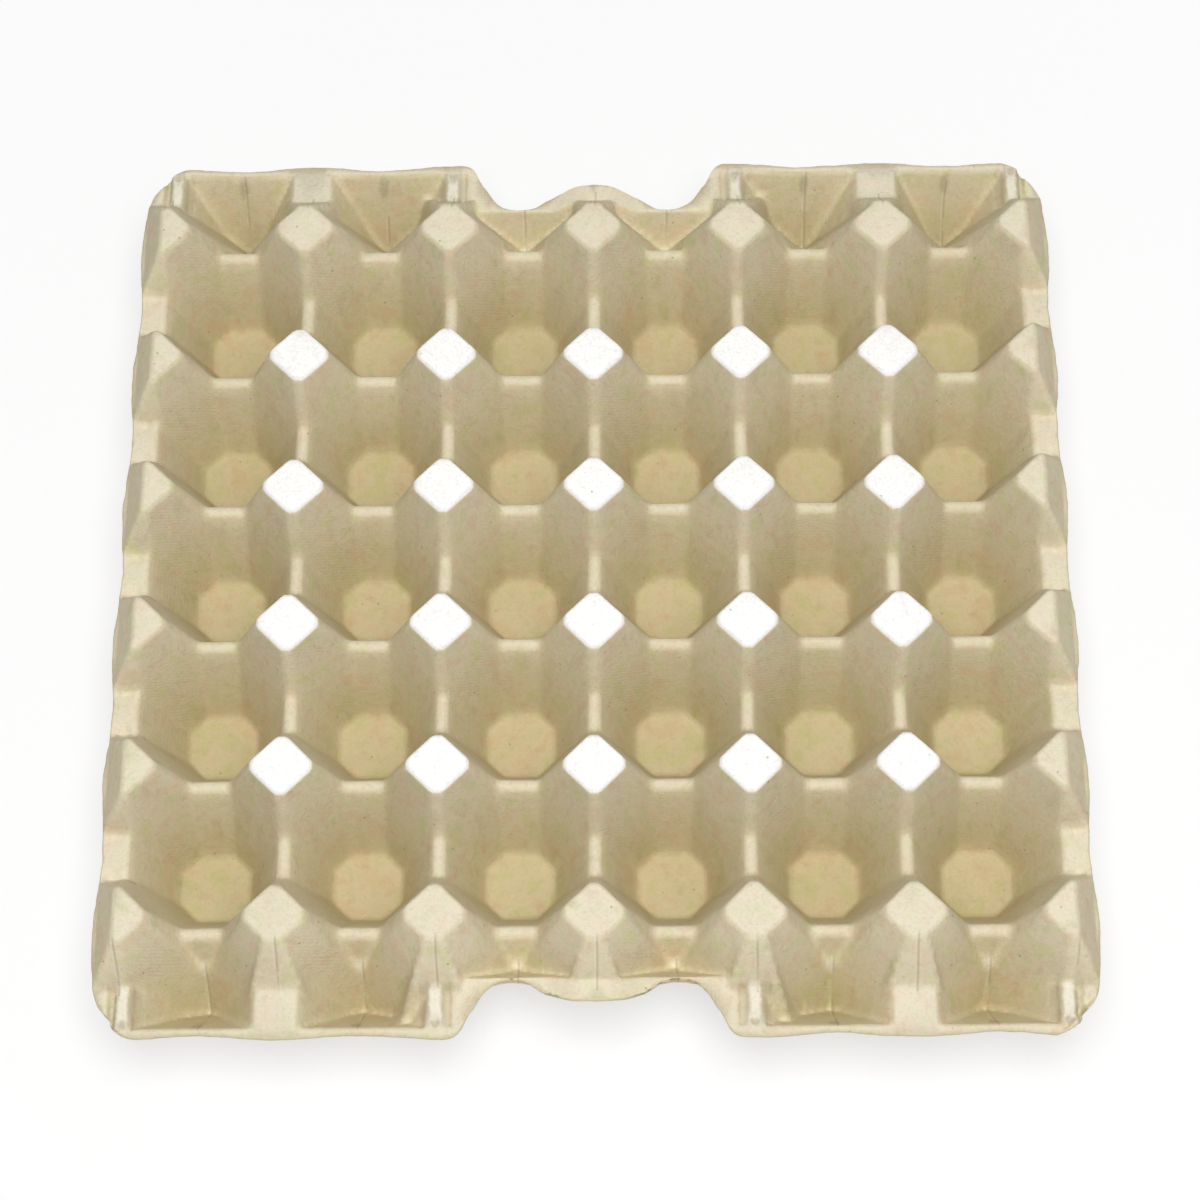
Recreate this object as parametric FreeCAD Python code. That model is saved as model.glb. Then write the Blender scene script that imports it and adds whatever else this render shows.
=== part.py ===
# Moulded pulp egg tray: thirty pockets between diamond-topped posts, in one shell of even wall.
# The upper skin is a landscape of posts, walls, bars and rim. The underside is the same landscape
# moved inwards by the wall. The tray is what lies between the two, trimmed to its outline.
# Frame: millimetres, +Z up, origin on the resting plane under the middle of the tray.
# X runs along the six columns and Y along the five rows.
import FreeCAD
import Part
import math
import os

# Pockets and posts
columns = 6
rows = 5
pitch = 46.5
height = 47.0
wall = 1.8
post_flats = 14.1
post_corner_cut = 3.0
post_slope = 72.0
saddle_drop = 18.5
crest_width = 3.2
pocket_base = 21.0

# Rim all round
rim_drop = 16.0
side_margin = 9.5
side_flange = 1.8
end_margin = 33.75
end_flange = 4.0
corner_cut = 12.0
corner_radius = 8.0

# Hollows between the end posts and the rim
outer_post_slope = 64.6
outer_corner_cut = 5.0
apron_reach = 8.0
apron_slope = 55.0
apron_half = 2.8
apron_side_slope = 73.3
end_wall_slope = 65.0
bar_rise = 1.0
bar_slope = 62.0
narrow_bar = 4.8
wide_bar = 12.5
wide_bar_column = 2
corner_bar = 4.0
corner_bar_inset = 2.0

# Finger notches in the middle of both ends: widths along the end, depths in from the outline
notch_width = 86.0
notch_shoulder_width = 72.6
notch_shoulder_depth = 7.7
notch_low_width = 48.8
notch_low_depth = 16.0
tongue_width = 28.0
tongue_side_depth = 12.3
tongue_depth = 9.9
tongue_crown = 8.0
tongue_rise = 4.1
notch_flange = 3.0

# Room for trimming beyond the outline and below the resting plane
trim_room = 6.0
least_half = 0.1

# Sizes that follow from those above
post_x = [(column - columns / 2) * pitch for column in range(columns + 1)]
post_y = [(row - rows / 2) * pitch for row in range(rows + 1)]
edge_x = post_x[-1]
edge_y = post_y[-1]
outline_x = edge_x + side_margin
outline_y = edge_y + end_margin
rim_z = height - rim_drop
saddle_z = height - saddle_drop
ridge_slope = math.degrees(math.atan(math.tan(math.radians(post_slope)) / math.sqrt(2)))
outer_ridge_slope = math.degrees(math.atan(math.tan(math.radians(outer_post_slope)) / math.sqrt(2)))
pocket_wall_run = (pitch - crest_width - pocket_base) / 2
wall_slope = math.degrees(math.atan2(saddle_z - wall, pocket_wall_run))
skirt_slope = math.degrees(math.atan2(rim_drop, side_margin - side_flange))
tongue_slope = math.degrees(math.atan2(tongue_rise, (tongue_width - tongue_crown) / 2))
bottom_z = -trim_room


def spread(half_at_top, slope, depth, inset):
    """Half width at a depth below the top, for a sloping face moved inwards by the inset."""
    angle = math.radians(slope)
    return half_at_top + depth / math.tan(angle) - inset / math.sin(angle)


def ring(points, z):
    """Closed wire through the points at one level."""
    corners = [FreeCAD.Vector(x, y, z) for x, y in points]
    return Part.makePolygon(corners + corners[:1])


def frustum(low_points, low_z, high_points, high_z):
    """Solid with flat sides between two outlines of equally many corners."""
    faces = [Part.Face(ring(low_points, low_z)), Part.Face(ring(high_points, high_z))]
    count = len(low_points)
    for first in range(count):
        second = (first + 1) % count
        corners = [
            FreeCAD.Vector(*low_points[first], low_z),
            FreeCAD.Vector(*low_points[second], low_z),
            FreeCAD.Vector(*high_points[second], high_z),
            FreeCAD.Vector(*high_points[first], high_z),
        ]
        faces.append(Part.Face(Part.makePolygon(corners + corners[:1])))
    return Part.Solid(Part.Shell(faces))


# Posts
def post_outline(depth, inset, side, end):
    """Corners of a post's section. Side and end are 1 where the tray's edge lies that way."""
    reach = math.sqrt(2) * spread(post_flats / 2, post_slope, depth, inset)
    outer_reach = math.sqrt(2) * spread(post_flats / 2, outer_post_slope, depth, inset)
    corner = math.sqrt(2) * post_flats / 2 - post_corner_cut / 2
    tip = min(spread(corner, ridge_slope, depth, inset), reach - least_half)
    outer_corner = math.sqrt(2) * post_flats / 2 - outer_corner_cut / 2
    outer_tip = min(spread(outer_corner, outer_ridge_slope, depth, inset), outer_reach - least_half)
    far_reach = outer_reach if end else reach
    far_tip = outer_tip if end else tip
    inner_half = [
        (-(far_reach - far_tip), far_tip),
        (-tip, far_reach - tip),
        (-tip, tip - reach),
        (tip - reach, -tip),
    ]
    if side:
        beyond = side_margin + trim_room
        return inner_half + [(beyond, -tip), (beyond, far_tip)]
    return inner_half + [(-x, y) for x, y in reversed(inner_half)]


def skirt_block(x, y, x_sign, inset):
    """All that lies inside the skirt, the plane that cuts the side posts in half."""
    section = [
        (-pitch, bottom_z),
        (spread(0, skirt_slope, height - bottom_z, inset), bottom_z),
        (spread(0, skirt_slope, 0, inset), height),
        (-pitch, height),
    ]
    corners = [FreeCAD.Vector(x + x_sign * offset, y - pitch, z) for offset, z in section]
    return Part.Face(Part.makePolygon(corners + corners[:1])).extrude(FreeCAD.Vector(0, 2 * pitch, 0))


def post(x, y, inset):
    """A post of the upper skin, or of the underside where there is an inset."""
    side = abs(x) > edge_x - pitch / 2
    end = abs(y) > edge_y - pitch / 2
    x_sign = -1 if x < 0 else 1
    y_sign = -1 if y < 0 else 1
    outlines = []
    for depth in (height - bottom_z, inset):
        outline = post_outline(depth, inset, side, end)
        outlines.append([(x + x_sign * px, y + y_sign * py) for px, py in outline])
    solid = frustum(outlines[0], bottom_z, outlines[1], height - inset)
    return solid.common(skirt_block(x, y, x_sign, inset)) if side else solid


def apron(x, y, inset):
    """Broad face of an end post towards the rim, widening down to the bar at its foot."""
    y_sign = -1 if y < 0 else 1
    outlines = []
    for depth in (height - bottom_z, inset):
        half = spread(apron_half, apron_side_slope, depth, inset)
        front = y + y_sign * spread(apron_reach, apron_slope, depth, inset)
        outlines.append([(x - half, y), (x + half, y), (x + half, front), (x - half, front)])
    return frustum(outlines[0], bottom_z, outlines[1], height - inset)


# Long ridges of one section: the walls between pockets, and the bars out to the rim
def ridge(start, finish, half_top, top_z, slope, inset):
    """Straight ridge from start to finish in plan, with a flat crest and equal slopes."""
    top_depth = inset
    half = spread(half_top, slope, top_depth, inset)
    if half < least_half:
        top_depth += (least_half - half) * math.tan(math.radians(slope))
        half = least_half
    foot = spread(half_top, slope, top_z - bottom_z, inset)
    run = FreeCAD.Vector(finish[0] - start[0], finish[1] - start[1], 0)
    across = FreeCAD.Vector(-run.y, run.x, 0).normalize()
    origin = FreeCAD.Vector(start[0], start[1], 0)
    section = [(-foot, bottom_z), (foot, bottom_z), (half, top_z - top_depth), (-half, top_z - top_depth)]
    corners = [origin + across * offset + FreeCAD.Vector(0, 0, z) for offset, z in section]
    return Part.Face(Part.makePolygon(corners + corners[:1])).extrude(run)


def walls(inset):
    """Walls between neighbouring pockets, with level saddles between the posts."""
    lines = [((-edge_x, y), (edge_x, y)) for y in post_y]
    lines += [((x, -edge_y), (x, edge_y)) for x in post_x[1:-1]]
    return [ridge(a, b, crest_width / 2, saddle_z, wall_slope, inset) for a, b in lines]


def bars(inset):
    """Raised bars from the end posts to the rim: narrow, wide and at the corners."""
    solids = []
    for x in post_x:
        if abs(x) < pitch / 2:
            continue
        width = wide_bar if round(abs(x) / pitch) == wide_bar_column else narrow_bar
        middle = x
        if abs(x) == edge_x:
            width = corner_bar
            middle = x - math.copysign(corner_bar_inset, x)
        for sign in (-1, 1):
            start = (middle, sign * edge_y)
            finish = (middle, sign * (outline_y - end_flange))
            solids.append(ridge(start, finish, width / 2, rim_z + bar_rise, bar_slope, inset))
    return solids


# Rim
def bank(run_from, run_to, face_at, slope, top_z, inset, reach, along_x):
    """Level bank outside a line, with a sloping face towards the middle of the tray."""
    angle = math.radians(slope)
    top = face_at + inset / math.sin(angle) - inset / math.tan(angle)
    foot = face_at + inset / math.sin(angle) - (top_z - bottom_z) / math.tan(angle)
    section = [(foot, bottom_z), (reach, bottom_z), (reach, top_z - inset), (top, top_z - inset)]
    if along_x:
        corners = [FreeCAD.Vector(run_from, offset, z) for offset, z in section]
        run = FreeCAD.Vector(run_to - run_from, 0, 0)
    else:
        corners = [FreeCAD.Vector(offset, run_from, z) for offset, z in section]
        run = FreeCAD.Vector(0, run_to - run_from, 0)
    return Part.Face(Part.makePolygon(corners + corners[:1])).extrude(run)


def both_sides(solid, normal):
    """The solid and its mirror image across the middle of the tray."""
    return [solid, solid.mirror(FreeCAD.Vector(0, 0, 0), normal)]


def rim(inset, reach):
    """Rim banks along the sides, along the ends, and nearer in at the finger notches."""
    far_x = outline_x + reach
    far_y = outline_y + reach
    side_face = edge_x - crest_width / 2 + (saddle_drop - rim_drop) / math.tan(math.radians(wall_slope))
    end_face = outline_y - end_flange
    notch_face = outline_y - notch_low_depth - notch_flange
    side = bank(-far_y, far_y, side_face, wall_slope, rim_z, inset, far_x, False)
    end = bank(-far_x, far_x, end_face, end_wall_slope, rim_z, inset, far_y, True)
    notch = bank(-pitch, pitch, notch_face, end_wall_slope, rim_z, inset, far_y, True)
    solids = both_sides(side, FreeCAD.Vector(1, 0, 0))
    solids += both_sides(end, FreeCAD.Vector(0, 1, 0))
    solids += both_sides(notch, FreeCAD.Vector(0, 1, 0))
    return solids


def tongues(inset, reach):
    """Raised middle of each notch, where the foot of the middle end post runs out into the tongue."""
    solids = []
    far_y = outline_y + reach
    angle = math.radians(end_wall_slope)
    face = outline_y - notch_low_depth - notch_flange + inset / math.sin(angle)
    for sign in (-1, 1):
        outlines = []
        for depth in (tongue_rise + inset, inset):
            half = spread(tongue_crown / 2, tongue_slope, depth, inset)
            near = sign * (face + (tongue_rise - depth) / math.tan(angle))
            outlines.append([(-half, near), (half, near), (half, sign * far_y), (-half, sign * far_y)])
        solids.append(frustum(outlines[0], rim_z - inset, outlines[1], rim_z + tongue_rise - inset))
    return solids


# Floor
def floor(inset, reach):
    """Floor of the pockets and hollows."""
    far_x = outline_x + reach
    far_y = outline_y + reach
    corner = FreeCAD.Vector(-far_x, -far_y, bottom_z)
    return Part.makeBox(2 * far_x, 2 * far_y, wall - inset - bottom_z, corner)


def landscape(inset, reach):
    """All of the tray's upper side as one solid, moved inwards by the inset."""
    solids = [floor(inset, reach)]
    solids += walls(inset)
    solids += rim(inset, reach)
    solids += bars(inset)
    solids += tongues(inset, reach)
    solids += [post(x, y, inset) for x in post_x for y in post_y]
    solids += [apron(x, y, inset) for x in post_x[1:-1] for y in (-edge_y, edge_y)]
    return solids[0].multiFuse(solids[1:]).removeSplitter()


# Outline
def notch_curve(sign):
    """Edge of a finger notch, from one shoulder over the tongue to the other."""
    half = [
        (notch_width / 2, 0),
        (notch_shoulder_width / 2, notch_shoulder_depth),
        (notch_low_width / 2, notch_low_depth),
        (tongue_width / 2, tongue_side_depth),
    ]
    points = [(-x, depth) for x, depth in half]
    points += [(0, tongue_depth)]
    points += [(x, depth) for x, depth in reversed(half)]
    curve = Part.BSplineCurve()
    curve.interpolate([FreeCAD.Vector(x, sign * (outline_y - depth), 0) for x, depth in points])
    return curve.toShape()


def outline():
    """The tray's outline in plan, with rounded corner cuts and a notch in each end."""
    side_end = outline_y - corner_cut
    end_end = outline_x - corner_cut
    edges = [Part.makeLine((x, -side_end, 0), (x, side_end, 0)) for x in (-outline_x, outline_x)]
    for sign in (-1, 1):
        y = sign * outline_y
        edges.append(notch_curve(sign))
        for side in (-1, 1):
            edges.append(Part.makeLine((side * notch_width / 2, y, 0), (side * end_end, y, 0)))
            edges.append(Part.makeLine((side * end_end, y, 0), (side * outline_x, sign * side_end, 0)))
    face = Part.Face(Part.Wire(Part.sortEdges(edges)[0]))
    face.translate(FreeCAD.Vector(0, 0, -trim_room / 2))
    block = face.extrude(FreeCAD.Vector(0, 0, height + trim_room))
    cut_ends = [(end_end, outline_y), (outline_x, side_end)]
    corners = [
        edge for edge in block.Edges
        if abs(edge.BoundBox.ZLength - height - trim_room) < least_half
        and any(math.hypot(abs(edge.BoundBox.Center.x) - x, abs(edge.BoundBox.Center.y) - y) < least_half
                for x, y in cut_ends)
    ]
    return block.makeFillet(corner_radius, corners)


def egg_tray():
    """One shell of even wall between the two landscapes, inside the outline."""
    upper = landscape(0, trim_room)
    lower = landscape(wall, 2 * trim_room)
    return upper.common(outline()).cut(lower).removeSplitter()


tray = egg_tray()
os.makedirs("parts", exist_ok=True)
tray.exportStep("parts/egg_tray.step")
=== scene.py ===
# %% [markdown]
# # A moulded pulp egg tray
# The tray is one sheet of grey-beige pulp, sucked onto a wire mould and dried. It holds thirty eggs in six
# columns and five rows. The packed CAD model is loaded first, as a fixed frame: it gives the tray's real
# size and place, and nothing below may leave its box. Its origin is under the middle of the tray, +Z is up,
# X runs along the six columns and Y along the five rows.

# %% Load the frame
import math

import bpy
from mathutils import Matrix, Vector


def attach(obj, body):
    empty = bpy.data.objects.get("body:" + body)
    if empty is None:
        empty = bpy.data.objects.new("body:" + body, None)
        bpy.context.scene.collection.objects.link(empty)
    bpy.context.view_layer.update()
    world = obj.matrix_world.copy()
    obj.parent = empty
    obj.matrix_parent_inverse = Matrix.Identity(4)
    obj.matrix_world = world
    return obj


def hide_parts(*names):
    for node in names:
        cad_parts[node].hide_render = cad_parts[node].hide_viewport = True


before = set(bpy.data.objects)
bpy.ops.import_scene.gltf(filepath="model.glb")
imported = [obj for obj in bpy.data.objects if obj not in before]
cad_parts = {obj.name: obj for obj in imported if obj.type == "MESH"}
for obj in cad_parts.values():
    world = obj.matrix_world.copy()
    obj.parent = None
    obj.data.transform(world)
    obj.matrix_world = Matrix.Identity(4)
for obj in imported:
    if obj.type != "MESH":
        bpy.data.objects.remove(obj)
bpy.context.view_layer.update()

# %% [markdown]
# ## Sizes
# Every size is a named value in metres, so that a change in one place carries through. The pockets lie on a
# square grid, so one pitch serves both ways, and the posts stand on the corners of the pockets. The sheet
# is the same thickness all over, as pulp is, so one wall value serves all of it.

# %% Sizes of the tray
mm = 0.001
columns = 6
rows = 5
pitch = 46.5 * mm
height = 47 * mm
wall = 1.8 * mm
edge_x = columns / 2 * pitch
edge_y = rows / 2 * pitch

post_half = 7.05 * mm
post_corner = 8.47 * mm
post_slope = math.tan(math.radians(72))
outer_post_slope = math.tan(math.radians(64.6))
outer_corner = 7.47 * mm
apron_reach = 8.0 * mm
apron_slope = math.tan(math.radians(55))
apron_half = 2.8 * mm
apron_side_slope = math.tan(math.radians(73.3))
skirt_slope = math.tan(math.radians(64.3))

saddle = height - 18.5 * mm
crest = 3.2 * mm
wall_slope = math.tan(math.radians(67.4))
print("pockets:", columns * rows, "posts:", (columns + 1) * (rows + 1))

# %% Sizes of the rim and the end hollows
rim = height - 16 * mm
side_margin = 9.5 * mm
end_margin = 33.75 * mm
outline_x = edge_x + side_margin
outline_y = edge_y + end_margin
end_flange = 4 * mm
end_slope = math.tan(math.radians(65))
corner_cut = 12 * mm
notch_half = 43 * mm
notch_depth = 16 * mm
notch_flange = 3 * mm
bar_rise = 1 * mm
bar_slope = math.tan(math.radians(62))
narrow_bar = 4.8 * mm
wide_bar = 12.5 * mm
corner_bar = 4 * mm
corner_bar_inset = 2 * mm
tongue_rise = 4.1 * mm
tongue_crown = 4 * mm
tongue_run = 10 * mm
tongue_slope = tongue_rise / tongue_run
print("outline:", outline_x * 2, "by", outline_y * 2, "metres")

# %% [markdown]
# ## A small language for nodes
# The tray's shape and its colour are both rules worked out at each point, so both become long chains of
# Math nodes. Writing them as Python expressions keeps them readable. The class below wraps one socket, and
# each operator adds the Math node for it. One method adds every other kind of node.

# %% Sockets that can be calculated with
class Value:
    """One output socket of a tree. Sums, products and comparisons of values add Math nodes."""

    def __init__(self, tree, socket):
        self.tree = tree
        self.socket = socket

    def math(self, operation, *others):
        made = self.tree.nodes.new("ShaderNodeMath")
        made.operation = operation
        for slot, other in zip(made.inputs, (self,) + others):
            connect(self.tree, slot, other)
        return Value(self.tree, made.outputs[0])

    def reflected(self, operation, other):
        made = self.tree.nodes.new("ShaderNodeMath")
        made.operation = operation
        connect(self.tree, made.inputs[0], other)
        connect(self.tree, made.inputs[1], self)
        return Value(self.tree, made.outputs[0])

    def __add__(self, other):
        return self.math("ADD", other)

    def __radd__(self, other):
        return self.reflected("ADD", other)

    def __sub__(self, other):
        return self.math("SUBTRACT", other)

    def __rsub__(self, other):
        return self.reflected("SUBTRACT", other)

    def __mul__(self, other):
        return self.math("MULTIPLY", other)

    def __rmul__(self, other):
        return self.reflected("MULTIPLY", other)

    def __truediv__(self, other):
        return self.math("DIVIDE", other)

    def __pow__(self, other):
        return self.math("POWER", other)

    def __abs__(self):
        return self.math("ABSOLUTE")

    def __gt__(self, other):
        return self.math("GREATER_THAN", other)

    def __lt__(self, other):
        return self.math("LESS_THAN", other)


def connect(tree, slot, value):
    """Put a number, a colour or a link into an input socket."""
    if isinstance(value, Value):
        tree.links.new(value.socket, slot)
    elif isinstance(value, bpy.types.NodeSocket):
        tree.links.new(value, slot)
    else:
        slot.default_value = value


def larger(a, b):
    return a.math("MAXIMUM", b)


def smaller(a, b):
    return a.math("MINIMUM", b)


def clamped(value):
    """A value kept between 0 and 1."""
    return smaller(larger(value, 0.0), 1.0)


def soft_larger(a, b, reach):
    return a.math("SMOOTH_MAX", b, reach)


def soft_smaller(a, b, reach):
    return a.math("SMOOTH_MIN", b, reach)


def blend(share, low, high):
    """Low where the share is 0, high where it is 1."""
    return low + share * (high - low)


print("a Value knows", len([name for name in vars(Value) if name.startswith("__")]), "operators")


# %% One method for every other node
class Tree:
    """A node tree being built."""

    def __init__(self, tree):
        self.tree = tree

    def node(self, kind, settings=None, inputs=None, output=0):
        """Add a node, set its settings first, fill its sockets, and give one output as a Value."""
        made = self.tree.nodes.new(kind)
        for name, setting in (settings or {}).items():
            if name == "curve":
                self.set_curve(made.mapping, setting)
            else:
                setattr(made, name, setting)
        for name, value in (inputs or {}).items():
            connect(self.tree, made.inputs[name], value)
        return Value(self.tree, made.outputs[output]) if made.outputs else made

    def set_curve(self, mapping, points):
        """Points of a float curve."""
        curve = mapping.curves[0]
        while len(curve.points) < len(points):
            curve.points.new(1.0, 1.0)
        for point, place in zip(curve.points, points):
            point.location = place
            point.handle_type = "AUTO_CLAMPED"
        mapping.update()

    def outputs(self, value):
        """All the outputs of the node that a value comes from."""
        return [Value(self.tree, socket) for socket in value.socket.node.outputs]


print("trees are ready")

# %% [markdown]
# ## The sheet
# A pulp tray is a thin sheet that rises and falls over a plan. Such a shape is best made from a grid whose
# height follows a rule. The Cube node with many vertices gives a closed box with a fine grid above and
# below, so the sheet has no seams to close. Its own height coordinate is kept as the side: 1 on the upper
# skin, -1 on the underside and 0 on the loop round the rim.
# The grid's step is a whole share of the pitch, so posts and pockets fall on vertices, and the diagonals
# of its squares run along the edges of the diamond posts.

# %% Grid of the sheet
steps = 42
step = pitch / steps
side_steps = 8
end_steps = 30
cells_x = columns * steps + 2 * side_steps
cells_y = rows * steps + 2 * end_steps

sheet = bpy.data.node_groups.new("Pulp sheet", "GeometryNodeTree")
sheet.interface.new_socket("Geometry", in_out="OUTPUT", socket_type="NodeSocketGeometry")
named_sizes = {
    "Pitch": pitch,
    "Height": height,
    "Wall": wall,
    "Saddle height": saddle,
    "Rim height": rim,
    "Edge softness": 0.9 * mm,
    "Fillet": 3.5 * mm,
    "Waviness": 1.4 * mm,
}
socket_ids = {}
for name, value in named_sizes.items():
    socket = sheet.interface.new_socket(name, in_out="INPUT", socket_type="NodeSocketFloat")
    socket.default_value = value
    socket_ids[name] = socket.identifier
t = Tree(sheet)
size_of = {}
group_input = sheet.nodes.new("NodeGroupInput")
for name in named_sizes:
    size_of[name] = Value(sheet, group_input.outputs[name])
block = t.node("GeometryNodeMeshCube", None, {
    "Size": (cells_x * step, cells_y * step, 2.0),
    "Vertices X": cells_x + 1,
    "Vertices Y": cells_y + 1,
    "Vertices Z": 3,
})
print("the sheet has", 4 * cells_x * cells_y, "triangles on its two skins")

# %% [markdown]
# ## The outline
# In plan the tray isn't a rectangle: its corners are cut and rounded, and each end has a notch for the
# fingers with a tongue in its middle. Cutting the grid would leave ragged teeth, so its outer rows and
# columns are drawn together until the last one lies on the outline.

# %% Rows and columns up to the rim
grid_x, grid_y, side = t.outputs(t.node("ShaderNodeSeparateXYZ", None, {
    "Vector": t.node("GeometryNodeInputPosition"),
}))
sign_x = grid_x.math("SIGN")
sign_y = grid_y.math("SIGN")
out_x = larger(abs(grid_x) - edge_x, 0.0) / (side_steps * step)
out_y = larger(abs(grid_y) - edge_y, 0.0) / (end_steps * step)
plan_x = smaller(abs(grid_x), edge_x) + out_x * side_margin
plan_y = smaller(abs(grid_y), edge_y) + out_y * end_margin

# Places along the end and how far the outline draws in there, in millimetres.
notch_points = [(0, 9.9), (7, 10.4), (14, 12.3), (24.4, 16), (36.3, 7.7), (43, 0), (60, 0)]
notch_reach = 60 * mm
notch_curve = [(x * mm / notch_reach, depth * mm / notch_depth) for x, depth in notch_points]
notch = t.node("ShaderNodeFloatCurve", {"curve": notch_curve}, {"Value": plan_x / notch_reach})
notch_ease = 3 * mm
notch_start = outline_y - notch_depth - notch_flange - notch_ease
notch_room = outline_y - notch_start
beyond = larger(plan_y - notch_start, 0.0)
plan_y = plan_y - beyond * notch * (notch_depth / notch_room)
print("the notch draws in", notch_depth, "metres of the ends")

# %% Rounded corner cuts
corner_room = 22 * mm
roundness = 14
cut_share = corner_room / (2 * corner_room - corner_cut)
corner_x = larger(plan_x - (outline_x - corner_room), 0.0) / corner_room
corner_y = larger(plan_y - (outline_y - corner_room), 0.0) / corner_room
farthest = larger(corner_x, corner_y)
rounded = (corner_x ** roundness + corner_y ** roundness
           + ((corner_x + corner_y) * cut_share) ** roundness) ** (1 / roundness)
shrink = farthest * farthest * (1 - farthest / larger(rounded, 1e-6))
plan_x = plan_x - corner_x * shrink * corner_room
plan_y = plan_y - corner_y * shrink * corner_room
print("corner cuts share", round(cut_share, 3))

# %% [markdown]
# ## The edge of the rim
# Dried pulp shrinks, so the long edges draw in a little between the posts, and the edge itself is rounded
# where the suction pulled the sheet over the mould. The edge may only move inwards, because the frame's box
# is the tray's real size.

# %% Shrunken and rounded edge
ripple_x = 0.5 - 0.5 * (plan_y * (2 * math.pi / pitch) + math.pi).math("COSINE")
ripple_y = 0.5 - 0.5 * (plan_x * (2 * math.pi / pitch)).math("COSINE")
edge_round = 0.35 * mm
ragged = t.node("ShaderNodeTexNoise", None, {
    "Vector": t.node("ShaderNodeCombineXYZ", None, {"X": sign_x * plan_x, "Y": sign_y * plan_y}),
    "Scale": 110.0, "Detail": 3.0, "Roughness": 0.6,
})
raggedness = 1.3 * mm
flat_side = side * side
plan_x = plan_x - out_x ** 2 * (ripple_x * size_of["Waviness"])
plan_x = plan_x - out_x ** 6 * (ragged * raggedness + flat_side * edge_round)
plan_y = plan_y - out_y ** 8 * (ripple_y * size_of["Waviness"])
plan_y = plan_y - out_y ** 16 * (ragged * raggedness + flat_side * edge_round)
print("edge rounding", edge_round)

# %% [markdown]
# ## The height rule
# Posts, walls, bars and rim are each a flat top that falls away at a slope past its edge. The sheet's height
# at a point is the highest of them. On the underside each face lies one wall further in, measured square to
# the face, which lowers a flat top by the wall and a slope by more. Soft maximum and minimum round the
# valleys and the edges, as pulp never forms a sharp one.

# %% Where a point lies among the posts
wobble_scale = 30.0
wobble = t.node("ShaderNodeTexNoise", {"noise_dimensions": "3D"}, {
    "Vector": t.node("GeometryNodeInputPosition"), "Scale": wobble_scale, "Detail": 3.0, "Roughness": 0.55,
}, output=1)
wobble_xyz = t.outputs(t.node("ShaderNodeSeparateXYZ", None, {"Vector": wobble}))
wobble_size = 1.1 * mm
at_x = abs(sign_x * plan_x + (wobble_xyz[0] - 0.5) * wobble_size)
at_y = abs(sign_y * plan_y + (wobble_xyz[1] - 0.5) * wobble_size)

size_pitch = size_of["Pitch"]
column = smaller((at_x / size_pitch).math("ROUND"), columns / 2)
row = smaller((at_y / size_pitch).math("FLOOR"), (rows - 1) / 2) + 0.5
past_side = larger(at_x - edge_x, 0.0)
past_end = larger(at_y - edge_y, 0.0)
is_end = at_y > edge_y
from_post_x = abs(at_x - column * size_pitch)
from_post_y = abs(at_y - row * size_pitch)
inset = (1 - side) * 0.5 * size_of["Wall"]
softness = size_of["Edge softness"]
fillet = size_of["Fillet"]


def flat_top(top, distance, slope, rounding=softness):
    """Height of a flat top that falls away past its edge, on either skin."""
    if isinstance(slope, Value):
        steep = (slope * slope + 1) ** 0.5
    else:
        steep = math.sqrt(slope * slope + 1)
    return soft_smaller(top - inset, top - distance * slope - inset * steep, rounding)


print("the wobble moves edges by up to", wobble_size / 2)

# %% Posts
far = 1.0
down_slope = blend(is_end, post_slope, outer_post_slope)
tip_slope = down_slope * (1 / math.sqrt(2))
across_slope = post_slope / math.sqrt(2)
along_x = from_post_x - past_side
face = (along_x + from_post_y) * (1 / math.sqrt(2)) - post_half
post = flat_top(size_of["Height"], face, down_slope)
post = soft_smaller(post, flat_top(size_of["Height"], along_x - post_corner, across_slope), softness)
corner_y_reach = blend(is_end, post_corner, outer_corner)
post = soft_smaller(post, flat_top(size_of["Height"], from_post_y - corner_y_reach, tip_slope), softness)
post = soft_smaller(post, flat_top(size_of["Height"], past_side, skirt_slope), softness)
has_apron = is_end * (column < columns / 2 - 0.5)
beside_apron = from_post_x - apron_half + (1 - has_apron) * far
apron = flat_top(size_of["Height"], beside_apron, apron_side_slope)
apron = soft_smaller(apron, flat_top(size_of["Height"], past_end - apron_reach, apron_slope), softness)
print("posts fall at", round(math.degrees(math.atan(post_slope))), "degrees")

# %% Walls, rim and bars
past_wall = smaller(from_post_x + (is_end + (at_x > edge_x - pitch / 2)) * far, from_post_y) - crest / 2
walls = flat_top(size_of["Saddle height"], past_wall, wall_slope)

side_face = edge_x - crest / 2 + (rim - saddle) / wall_slope
side_bank = flat_top(size_of["Rim height"], side_face - at_x, wall_slope)
end_bank = flat_top(size_of["Rim height"], outline_y - end_flange - at_y, end_slope)
in_notch = at_x < pitch
notch_face = outline_y - notch_depth - notch_flange
notch_bank = flat_top(size_of["Rim height"], notch_face - at_y + (1 - in_notch) * far, end_slope)

tongue_top = size_of["Rim height"] + tongue_rise
beside_tongue = at_x - tongue_crown + (1 - in_notch) * far
tongue = flat_top(tongue_top, beside_tongue, tongue_slope, 2 * mm)
tongue_face = notch_face + tongue_rise / end_slope
tongue = soft_smaller(tongue, flat_top(tongue_top, tongue_face - at_y, end_slope), 1 * mm)

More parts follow.
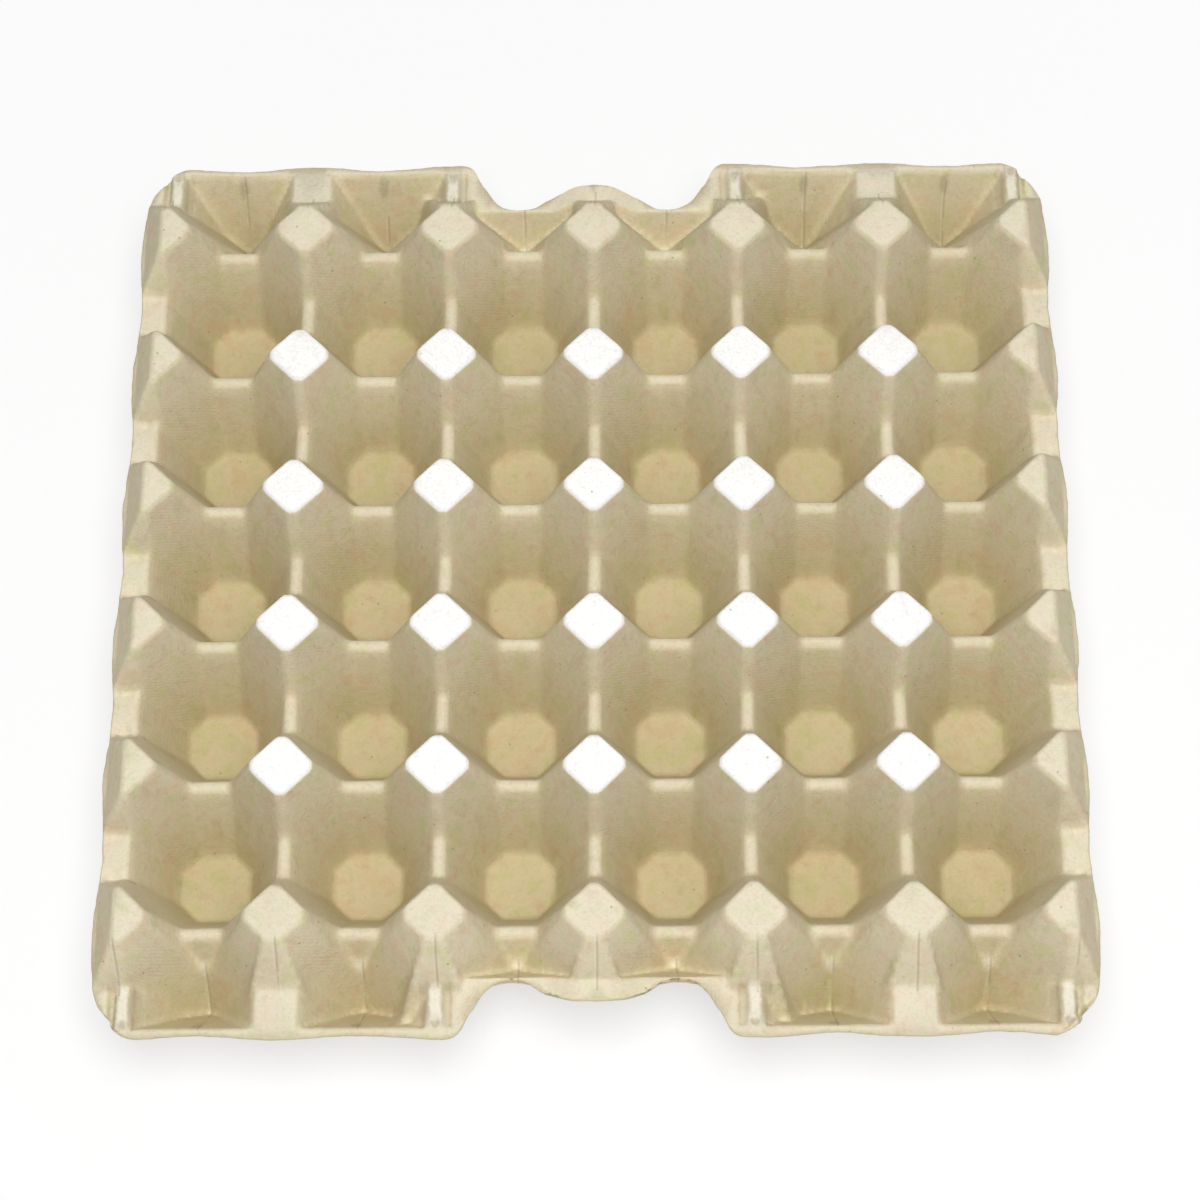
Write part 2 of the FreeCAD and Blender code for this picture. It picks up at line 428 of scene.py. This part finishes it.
is_first = (column > 0.5) * (column < 1.5)
is_second = (column > 1.5) * (column < 2.5)
is_corner = column > 2.5
bar_half = (is_first * narrow_bar + is_second * wide_bar + is_corner * corner_bar) / 2
bar_middle = column * size_pitch - is_corner * corner_bar_inset
has_bar = is_end * (column > 0.5) * (at_y < outline_y - end_flange)
from_bar = abs(at_x - bar_middle) - bar_half + (1 - has_bar) * far
bars = flat_top(size_of["Rim height"] + bar_rise, from_bar, bar_slope, 0.6 * mm)

print("the rim lies", round((height - rim) / mm, 1), "mm below the post tops")

# %% Highest of them all
wide_fillet = 1.5 * mm
middle_fillet = 1 * mm
tight_fillet = 0.5 * mm
z = soft_larger(size_of["Wall"] - inset, walls, fillet)
z = soft_larger(z, soft_larger(post, apron, wide_fillet), fillet)
z = soft_larger(z, end_bank, wide_fillet)
z = soft_larger(z, soft_larger(notch_bank, tongue, tight_fillet), middle_fillet)
z = soft_larger(z, side_bank, middle_fillet)
z = soft_larger(z, bars, tight_fillet)
print("nodes in the height rule:", len(sheet.nodes))

# %% [markdown]
# ## Marks of the mould
# The mould leaves small marks where its parts meet: a knob at the foot of each end ledge, a groove beside
# each narrow bar with a pit at its outer end, and a hollow at the foot of each side post. Each is a small
# bell-shaped rise or fall added to the height.

# %% Knobs, grooves, pits and hollows
def bell(distance, reach):
    """1 at a place and fading to 0 on both sides of it."""
    return (-1 * (distance / reach) ** 2).math("EXPONENT")


cell_x = (at_x / size_pitch).math("FLOOR") + 0.5
from_cell_x = abs(at_x - cell_x * size_pitch)
knob_place = edge_y + 7 * mm
knob_rise = 2.4 * mm
knob = bell(from_cell_x, 1.8 * mm) * bell(at_y - knob_place, 2.4 * mm) * knob_rise

is_narrow = has_bar * (1 - is_second)
groove_place = 1.2 * mm
groove_depth = 1.8 * mm
groove_start = clamped((at_y - (edge_y + 13 * mm)) / (4 * mm))
groove = bell(from_bar - groove_place, 0.9 * mm) * is_narrow * groove_start * groove_depth

pit_place = outline_y - end_flange - 2 * mm
pit_depth = 2.2 * mm
pit_share = is_narrow * (1 - 0.6 * is_corner)
pit = bell(at_x - bar_middle, 1.3 * mm) * bell(at_y - pit_place, 1.6 * mm) * pit_share * pit_depth

foot_x = edge_x + 3.6 * mm
foot_y = 16 * mm
foot_depth = 1.5 * mm
side_hollow = bell(at_x - foot_x, 2.6 * mm) * bell(from_post_y - foot_y, 3.4 * mm) * foot_depth
z = z + knob - pit - groove - side_hollow * (at_y < edge_y)
print("the knobs rise", knob_rise / mm, "mm and the pits are", pit_depth / mm, "mm deep")

# %% [markdown]
# One corner of the rim, the front right one, was bent up when the tray was handled, with a crease where it
# turns. Nothing may rise past the post tops or sink below the ground, so the height is kept between the two.

# %% The raised corner
lip_corner = (sign_x > 0.0) * (sign_y < 0.0)
from_cut = ((outline_x - plan_x) + (outline_y - plan_y) - corner_cut) * (1 / math.sqrt(2))
lip_width = 3.2 * mm
lip_rise = 2 * mm
crease_depth = 1 * mm
lip = clamped((lip_width - from_cut) / lip_width) * lip_rise
lip_crease = bell(from_cut - lip_width, 0.9 * mm) * crease_depth
z = z + (lip - lip_crease) * lip_corner
z = larger(smaller(z, size_of["Height"] - inset), 0.0)
print("the rule and its marks take", len(sheet.nodes), "nodes in all")

# %% [markdown]
# The sheet is set to its height and shaded smooth. Two values are kept on its points: the side, which tells
# the two skins apart, and how level the face is, which the pulp's colour uses to paint level faces paler, as
# painted light from above.

# %% Place the sheet and smooth it
place = t.node("ShaderNodeCombineXYZ", None, {"X": sign_x * plan_x, "Y": sign_y * plan_y, "Z": z})
shaped = t.node("GeometryNodeSetPosition", None, {"Geometry": block, "Position": place})
smooth = t.node("GeometryNodeSetShadeSmooth", None, {"Geometry": shaped})
kept = t.node("GeometryNodeStoreNamedAttribute", {"data_type": "FLOAT", "domain": "POINT"}, {
    "Geometry": smooth, "Name": "side", "Value": side,
})
upward_share = t.outputs(t.node("ShaderNodeSeparateXYZ", None, {
    "Vector": t.node("GeometryNodeInputNormal"),
}))[2]
least_level = 0.78
level_range = 0.18
flatness = clamped((upward_share - least_level) / level_range)
kept = t.node("GeometryNodeStoreNamedAttribute", {"data_type": "FLOAT", "domain": "POINT"}, {
    "Geometry": kept, "Name": "flat", "Value": flatness,
})
threes = t.node("GeometryNodeTriangulate", None, {"Mesh": kept})
real = t.node("GeometryNodeRealizeInstances", None, {"Geometry": threes})
print("the sheet is shaped")

# %% [markdown]
# ## Pulp
# Moulded pulp is matte waste paper. Close up it is a felt of short fibres with dark specks, and from
# further off it is mottled with faint green and pink where inks were left in it. The deep parts are painted
# darker and yellower than the crests, as painted shade and warm bounced light in the hollows. All of that is
# worked out from Object coordinates and the kept level value, so it stays with the tray from every side.

# %% Colours of the pulp
def from_screen(red, green, blue):
    """A colour as a screen shows it, turned into the linear values that a shader needs."""
    def linear(part):
        part = part / 255
        return part / 12.92 if part <= 0.04045 else ((part + 0.055) / 1.055) ** 2.4
    return (linear(red), linear(green), linear(blue), 1.0)


crest_colour = from_screen(222, 211, 182)
highlight_colour = from_screen(253, 252, 250)
depth_shade_colour = from_screen(190, 176, 138)
green_tint = (0.93, 0.98, 0.84, 1.0)
pink_tint = (1.0, 0.92, 0.89, 1.0)
plain_tint = (1.0, 1.0, 1.0, 1.0)
streak_tint = (0.88, 0.87, 0.83, 1.0)
pale_seam_and_light_colour = from_screen(240, 235, 220)
speck_colour = from_screen(120, 104, 78)
seam_and_shade_colour = from_screen(150, 136, 108)
print("pale pulp in linear values:", [round(part, 2) for part in crest_colour[:3]])

# %% The pulp material
pulp = bpy.data.materials.new("Pulp")
pulp.use_nodes = True
pulp.node_tree.nodes.clear()
m = Tree(pulp.node_tree)
coordinates = m.node("ShaderNodeTexCoord", output=3)
object_xyz = m.outputs(m.node("ShaderNodeSeparateXYZ", None, {"Vector": coordinates}))


def noise(scale, detail=2.0, roughness=0.5, distortion=0.0):
    """Smooth noise between 0 and 1, with a feature about every 1/scale metres."""
    return m.node("ShaderNodeTexNoise", None, {
        "Vector": coordinates, "Scale": scale, "Detail": detail,
        "Roughness": roughness, "Distortion": distortion,
    })


def step_up(value, low, high):
    """0 below low, 1 above high and smooth between."""
    return m.node("ShaderNodeMapRange", {"interpolation_type": "SMOOTHSTEP"}, {
        "Value": value, "From Min": low, "From Max": high,
    })


def mixed(share, low, high):
    """One colour where the share is 0, another where it is 1."""
    return m.node("ShaderNodeMix", {"data_type": "RGBA", "clamp_factor": True}, {
        0: share, 6: low, 7: high,
    }, output=2)


def tinted(colour, tint):
    """A colour seen through a tint."""
    return m.node("ShaderNodeMix", {"data_type": "RGBA", "blend_type": "MULTIPLY"}, {
        0: 1.0, 6: colour, 7: tint,
    }, output=2)


# Painted shade: lower points are painted darker and yellower, standing for shade and warm bounced light in
# the hollows; the cloudy noise adds random tone.
painted_depth_shade = 1 - step_up(object_xyz[2], -6 * mm, height - 1 * mm)
patches = noise(150.0, 3.0, 0.6)
clouds = noise(28.0, 2.0, 0.5)
grain = noise(1100.0, 3.0, 0.65)
body_colour = mixed(painted_depth_shade + (clouds - 0.5) * 0.5, crest_colour, depth_shade_colour)
pink = mixed(step_up(patches, 0.5, 0.66), plain_tint, pink_tint)
green = mixed(step_up(1 - patches, 0.5, 0.66), plain_tint, green_tint)
body_colour = tinted(tinted(body_colour, pink), green)
print("mottling is in place")

# %% [markdown]
# Water runs down the mould as the pulp settles, which leaves faint streaks down the steep faces. They are a
# noise that is stretched along the height.

# %% Streaks
drained = m.node("ShaderNodeMapping", None, {"Vector": coordinates, "Scale": (1.0, 1.0, 0.12)})
streaks = m.node("ShaderNodeTexNoise", None, {
    "Vector": drained, "Scale": 260.0, "Detail": 3.0, "Roughness": 0.6,
})
streak_share = step_up(streaks, 0.5, 0.72) * 0.6
body_colour = tinted(body_colour, mixed(streak_share, plain_tint, streak_tint))
print("the streaks are in place")

# %% [markdown]
# The tops of the inner posts are painted near white, a painted highlight. The bars, the pads and the other
# level faces are painted paler than the slopes, as painted light from above, and the grooves and the pits
# beside the bars are painted darker, as painted shade. Two small functions draw such lines and dots.

# %% Lines and dots
def line(distance, place, half_width):
    """1 along a thin line and 0 away from it."""
    return 1 - step_up(abs(distance - place), half_width * 0.5, half_width)


def dot_at(aside, ahead, reach):
    """1 at a point, fading to 0 at the reach around it."""
    return 1 - step_up((aside * aside + ahead * ahead) ** 0.5, reach * 0.3, reach)


print("lines and dots are ready")

# %% Painted highlight on the post tops and painted light on level faces
across = abs(object_xyz[0])
along = abs(object_xyz[1])
inner_posts = (across < edge_x - pitch / 2) * (along < edge_y - pitch / 2)
# Painted highlight: the tops of the inner posts are painted near white.
painted_highlight = step_up(object_xyz[2], height - 2.2 * mm, height - 1.2 * mm) * inner_posts
body_colour = mixed(painted_highlight * 0.96, body_colour, highlight_colour)

inner_tops = inner_posts * (object_xyz[2] > height - 6 * mm)
level_parts = m.node("ShaderNodeAttribute", {"attribute_name": "flat"}, output=2)
# Painted light: faces that look upwards, above the hollow floors, are painted paler, as light from above
# falls on them.
painted_level_light = level_parts * step_up(object_xyz[2], 18 * mm, 26 * mm) * (1 - inner_tops)
body_colour = mixed(painted_level_light * 0.3, body_colour, pale_seam_and_light_colour)
print("the tops of", (columns - 1) * (rows - 1), "inner posts are chalky")

# %% Bars, pits and knobs
bar_column = (across / pitch).math("ROUND")
past_first = bar_column > 0.5
second_bar = (bar_column > 1.5) * (bar_column < 2.5)
narrow_one = 1 - second_bar
shift = (bar_column > 2.5) * corner_bar_inset
half_bar = second_bar * 6.2 * mm + narrow_one * 2.0 * mm
rough_edge = (noise(320.0, 2.0, 0.6) - 0.5) * 2.4 * mm
bar_offset = abs(across - bar_column * pitch + shift) + rough_edge
past_bar = bar_offset - half_bar
bar_foot = step_up(along, edge_y + 16.5 * mm, edge_y + 18 * mm)
bar_head = step_up(along, edge_y + 28.5 * mm, edge_y + 30.5 * mm)
bar_run = bar_foot * (1 - bar_head)
# Painted light: the raised tops of the bars are painted paler, the narrow ones most.
on_bar = (1 - step_up(past_bar, -1.0 * mm, 0.6 * mm)) * bar_run * past_first
painted_bar_light = on_bar * (0.12 + 0.4 * narrow_one)
body_colour = mixed(painted_bar_light, body_colour, pale_seam_and_light_colour)
# Painted shade: the groove beside each narrow bar is painted darker.
groove_shade = line(past_bar, 1.2 * mm, 2.2 * mm) * bar_run * past_first * narrow_one
body_colour = mixed(groove_shade * 0.3, body_colour, seam_and_shade_colour)
# Painted shade: the pit at the outer end of each narrow bar is painted darker.
pit_shade = dot_at(bar_offset, along - (edge_y + 28.5 * mm), 2.0 * mm) * past_first * narrow_one
body_colour = mixed(pit_shade * 0.5, body_colour, seam_and_shade_colour)

# Painted highlight: a pale dot on each knob at the foot of the end ledges.
hollow_middle = ((object_xyz[0] / pitch).math("FLOOR") + 0.5) * pitch
knob_glint = dot_at(abs(object_xyz[0] - hollow_middle), along - knob_place, 2.4 * mm)
body_colour = mixed(knob_glint * 0.3, body_colour, pale_seam_and_light_colour)
print("bars, pits and knobs are painted")

# %% [markdown]
# At both ends the two halves of the mould meet in a thin pale seam with a dark line beside it: down the
# middle of each end post, and down the middle of each hollow. The seams drift a little and are broken here
# and there, and painted shade darkens a short crease across the foot of each side post.

# %% Seams
drift_size = 1.6 * mm
seam_half = 0.42 * mm
seam_x = object_xyz[0] + (noise(35.0, 1.0) - 0.5) * drift_size
from_column = seam_x - (seam_x / pitch).math("ROUND") * pitch
from_middle = seam_x - ((seam_x / pitch).math("FLOOR") + 0.5) * pitch
near_end = step_up(along, edge_y + 6 * mm, edge_y + 8 * mm) * (along < edge_y + 20 * mm)
in_hollow = step_up(along, edge_y + 5 * mm, edge_y + 7 * mm) * (along < outline_y - end_flange)


def seam_lines(place):
    """Lines at the same place beside every seam, of the posts and of the hollows."""
    post_lines = line(from_column, place, seam_half) * near_end
    hollow_lines = line(from_middle, place, seam_half) * in_hollow
    return larger(post_lines, hollow_lines)


pale_seams = seam_lines(0.0)
dark_seams = seam_lines(0.7 * mm)
broken = step_up(noise(90.0, 2.0), 0.38, 0.52)
body_colour = mixed(pale_seams * broken * (0.35 - 0.2 * in_hollow), body_colour, pale_seam_and_light_colour)
body_colour = mixed(dark_seams * broken * 0.35, body_colour, seam_and_shade_colour)
seam_end = along - (edge_y + 27.5 * mm)
seam_foot = dot_at(from_middle + rough_edge, seam_end, 2.4 * mm) * (across > pitch)
body_colour = mixed(seam_foot * 0.4, body_colour, seam_and_shade_colour)
from_row = object_xyz[1] - ((object_xyz[1] / pitch).math("FLOOR") + 0.5) * pitch
# Painted shade along the crease at the foot of each side post.
at_side = (across > edge_x - 3 * mm) * (across < edge_x + 6 * mm) * (along < edge_y)
side_crease_shade = line(from_row, 15.8 * mm, 0.8 * mm) * at_side
body_colour = mixed(side_crease_shade * broken * 0.45, body_colour, seam_and_shade_colour)
print("seams drift by up to", drift_size / 2)

# %% [markdown]
# Close up, the felt shows: thin fibres lie where a noise field crosses its middle, dark specks sit in some of
# the cells of a Voronoi pattern, and a fine grain lies over it all.

# %% Fibres and specks
fibre_field = noise(150.0, 1.5, 0.5, 1.2)
fibres = 1 - step_up(abs(fibre_field - 0.5), 0.002, 0.012)
speck_distance, speck_cell = m.outputs(m.node("ShaderNodeTexVoronoi", {"feature": "F1"}, {
    "Vector": coordinates, "Scale": 190.0, "Randomness": 1.0,
}))[:2]
speck_lot = m.node("ShaderNodeSeparateColor", None, {"Color": speck_cell})
specks = (1 - step_up(speck_distance, 0.035, 0.10)) * (speck_lot > 0.62)
body_colour = mixed(fibres * 0.1, body_colour, seam_and_shade_colour)
body_colour = mixed(specks * 0.5, body_colour, speck_colour)
body_colour = mixed(step_up(grain, 0.45, 0.75) * 0.16, body_colour, seam_and_shade_colour)
print("fibres and specks are in place")

# %% [markdown]
# The same fields give the relief, with the faint weave of the wire mesh that the pulp was sucked onto. It
# shows in some patches only, and not on the post tops that carry the painted highlight.

# %% Bumps and shader
felt = grain * 0.5 + noise(420.0, 2.0, 0.6) * 0.9 + fibres * 0.25
felt = felt + pale_seams * 0.25 - dark_seams * 0.4 + streaks * 0.8
mesh_pitch = 1.1 * mm
weave_x = ((object_xyz[0] + object_xyz[2]) * (2 * math.pi / mesh_pitch)).math("SINE")
weave_y = ((object_xyz[1] + object_xyz[2]) * (2 * math.pi / mesh_pitch)).math("SINE")
weave = (weave_x + weave_y) * step_up(clouds, 0.45, 0.6) * (1 - painted_highlight)
felt = felt + weave * 0.08
bump = m.node("ShaderNodeBump", None, {"Strength": 0.45, "Distance": 0.35 * mm, "Height": felt})
shader = m.node("ShaderNodeBsdfPrincipled", None, {
    "Base Color": body_colour, "Roughness": 0.92, "Specular IOR Level": 0.25, "Normal": bump,
})
m.node("ShaderNodeOutputMaterial", None, {"Surface": shader})
print("the pulp material has", len(pulp.node_tree.nodes), "nodes")

# %% [markdown]
# ## From rule to mesh
# The tree ends in Realize Instances and Set Material. The object is evaluated once and its result is kept as
# a plain mesh. The underside is seen less, so a Decimate modifier thins it and leaves the upper skin as it
# is.

# %% Make the tray
finished = t.node("GeometryNodeSetMaterial", None, {"Geometry": real, "Material": pulp})
group_output = sheet.nodes.new("NodeGroupOutput")
sheet.links.new(finished.socket, group_output.inputs["Geometry"])

form = bpy.data.objects.new("Sheet form", bpy.data.meshes.new("Sheet form"))
bpy.context.scene.collection.objects.link(form)
modifier = form.modifiers.new("Pulp sheet", "NODES")
modifier.node_group = sheet
for name, value in named_sizes.items():
    modifier[socket_ids[name]] = value
view_layer = bpy.context.evaluated_depsgraph_get()
tray_mesh = bpy.data.meshes.new_from_object(form.evaluated_get(view_layer))
bpy.data.objects.remove(form)
tray = bpy.data.objects.new("Tray", tray_mesh)
bpy.context.scene.collection.objects.link(tray)
print("the tray has", len(tray_mesh.polygons), "triangles")

# %% Thin the underside
thinned = tray.vertex_groups.new(name="underside")
sides = tray_mesh.attributes["side"].data
under = [index for index, value in enumerate(sides) if value.value < -0.5]
thinned.add(under, 1.0, "REPLACE")
most_triangles = 196000
decimate = tray.modifiers.new("Thin the underside", "DECIMATE")
decimate.ratio = min(1.0, most_triangles / len(tray_mesh.polygons))
decimate.vertex_group = "underside"
view_layer = bpy.context.evaluated_depsgraph_get()
light_mesh = bpy.data.meshes.new_from_object(tray.evaluated_get(view_layer))
tray.modifiers.clear()
tray.data = light_mesh
tray.vertex_groups.clear()
print("thinned to", len(light_mesh.polygons), "triangles")

# %% [markdown]
# ## Studio
# The tray lies on a plain white floor under one broad soft lamp, slightly in front of it and to the right,
# with light from all round as in a white room. The floor shows white to the camera, and a faint shadow lies
# close to the tray. The camera stands where the photograph was taken: above the front edge and looking
# steeply down.

# %% Floor
floor_mesh = bpy.data.meshes.new("Floor")
floor_reach = 3.0
floor_signs = [(-1, -1), (1, -1), (1, 1), (-1, 1)]
floor_corners = [(x * floor_reach, y * floor_reach, 0) for x, y in floor_signs]
floor_mesh.from_pydata(floor_corners, [], [(0, 1, 2, 3)])
floor = bpy.data.objects.new("Floor", floor_mesh)
bpy.context.scene.collection.objects.link(floor)
paper = bpy.data.materials.new("White paper")
paper.use_nodes = True
paper.node_tree.nodes.clear()
f = Tree(paper.node_tree)


def seen_share(tree):
    """1 for rays that show a surface to the camera, 0 for those that only light things."""
    rays = tree.outputs(tree.node("ShaderNodeLightPath"))
    return larger(larger(rays[0], rays[3]), rays[6])


matte = f.node("ShaderNodeBsdfDiffuse", None, {"Color": (0.95, 0.95, 0.95, 1)})
white = f.node("ShaderNodeEmission", None, {"Color": (1, 1, 1, 1), "Strength": 1.0})
near_white = 0.65
near_reach = 0.2
far_reach = 0.5
floor_coordinates = f.node("ShaderNodeTexCoord", output=3)
floor_xyz = f.outputs(f.node("ShaderNodeSeparateXYZ", None, {"Vector": floor_coordinates}))
radius = (floor_xyz[0] * floor_xyz[0] + floor_xyz[1] * floor_xyz[1]) ** 0.5
farness = clamped((radius - near_reach) / (far_reach - near_reach))
whiteness = blend(farness, near_white, 1.0)
seen_floor = seen_share(f) * whiteness
f.node("ShaderNodeOutputMaterial", None, {
    "Surface": f.node("ShaderNodeMixShader", None, {0: seen_floor, 1: matte, 2: white}),
})
floor_mesh.materials.append(paper)
print("the floor is", floor_reach * 2, "metres wide")

# %% World
world = bpy.data.worlds.new("White room")
bpy.context.scene.world = world
world.use_nodes = True
world.node_tree.nodes.clear()
w = Tree(world.node_tree)
room_level = 0.2
room = w.node("ShaderNodeBackground", None, {
    "Color": (1, 1, 1, 1), "Strength": blend(seen_share(w), room_level, 1.0),
})
w.node("ShaderNodeOutputWorld", None, {"Surface": room})
print("the room lights the tray at a level of", room_level)


# %% Lamp
def soft_lamp(name, place, target, width, watts):
    """A square lamp that faces a point."""
    lamp = bpy.data.lights.new(name, "AREA")
    lamp.size = width
    lamp.energy = watts
    made = bpy.data.objects.new(name, lamp)
    made.location = place
    made.rotation_mode = "QUATERNION"
    made.rotation_quaternion = (Vector(target) - Vector(place)).to_track_quat("-Z", "Y")
    bpy.context.scene.collection.objects.link(made)
    return made


key = soft_lamp("Soft key", (0.05, -0.26, 1.25), (0, 0, 0), 0.8, 15.5)
print("the lamp:", key.name, "of", key.data.energy, "watts")

# %% Camera
camera_place = Vector((11.4, -395.1, 863.3)) * mm
tilt = math.radians(65.15)
turn = math.radians(-1.44)
roll = math.radians(-1.73)
sensor = 36.0
focal_pixels = 2967.9
image_pixels = 1200
forward = Vector((math.sin(turn) * math.cos(tilt), math.cos(turn) * math.cos(tilt), -math.sin(tilt)))
level = Vector((math.cos(turn), -math.sin(turn), 0))
upward = level.cross(forward)
right = level * math.cos(roll) + upward * math.sin(roll)
above = upward * math.cos(roll) - level * math.sin(roll)
camera_data = bpy.data.cameras.new("Camera")
camera_data.sensor_width = sensor
camera_data.lens = focal_pixels * sensor / image_pixels
camera = bpy.data.objects.new("Camera", camera_data)
turned = Matrix((right, above, -forward)).transposed().to_4x4()
camera.matrix_world = Matrix.Translation(camera_place) @ turned
bpy.context.scene.collection.objects.link(camera)
bpy.context.scene.camera = camera
bpy.context.scene.view_settings.view_transform = "Standard"
print("the lens is", round(camera_data.lens, 2), "mm")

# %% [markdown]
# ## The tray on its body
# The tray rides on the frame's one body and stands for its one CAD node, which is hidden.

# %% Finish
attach(tray, "root")
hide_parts("egg_tray")
